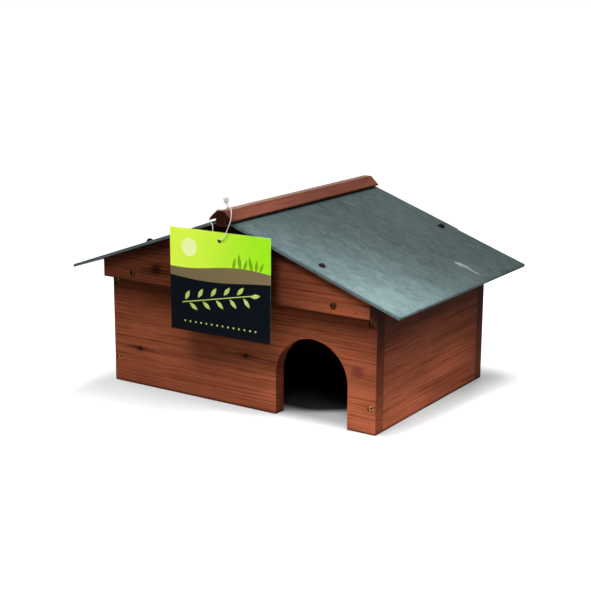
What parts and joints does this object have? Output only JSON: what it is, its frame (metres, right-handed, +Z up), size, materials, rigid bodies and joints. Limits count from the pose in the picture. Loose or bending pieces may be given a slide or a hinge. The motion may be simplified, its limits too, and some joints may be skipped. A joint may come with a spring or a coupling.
{
  "type": "hedgehog house",
  "caption": "Floorless wooden box with an arched doorway under a low gabled slate roof with a wooden ridge piece and a hanging swing tag; shelters a hedgehog in a garden.",
  "frame": {"origin": "on the ground, under the middle of the house", "axes": "+X to the right as seen from the doorway side, +Y from the front to the back along the ridge, +Z up"},
  "size_m": [0.551, 0.3946, 0.3016],
  "materials": {
    "stained_wood": "red-brown stain, satin, open grain",
    "ridge_wood": "pinkish red-brown stain, planed",
    "slate": "natural cleft, matt with a soft sheen",
    "yellow_screw": "yellow passivated",
    "black_screw": "black, semi-gloss",
    "black_washer": "matt",
    "tag_card": "printed coated card",
    "tag_cord": "twisted cotton"
  },
  "bodies": {
    "house": {"front_wall": "stained_wood", "back_wall": "stained_wood", "left_wall": "stained_wood", "right_wall": "stained_wood", "front_gable": "stained_wood", "back_gable": "stained_wood", "left_slate": "slate", "right_slate": "slate", "ridge_cap": "ridge_wood", "front_wall_screws": "yellow_screw", "back_wall_screws": "yellow_screw", "front_gable_screws": "yellow_screw", "back_gable_screws": "yellow_screw", "ridge_screws": "yellow_screw", "left_slate_screws": "black_screw", "right_slate_screws": "black_screw", "left_slate_washers": "black_washer", "right_slate_washers": "black_washer"},
    "tag": {"swing_tag": "tag_card", "tag_string": "tag_cord", "string_knot": "tag_cord"}
  },
  "joints": [
    {"name": "tag_swing", "type": "hinge", "parent": "house", "child": "tag", "pos_m": [0, -0.193, 0.28733], "axis": [-1, 0, 0], "range_deg": [0, 80]}
  ]
}
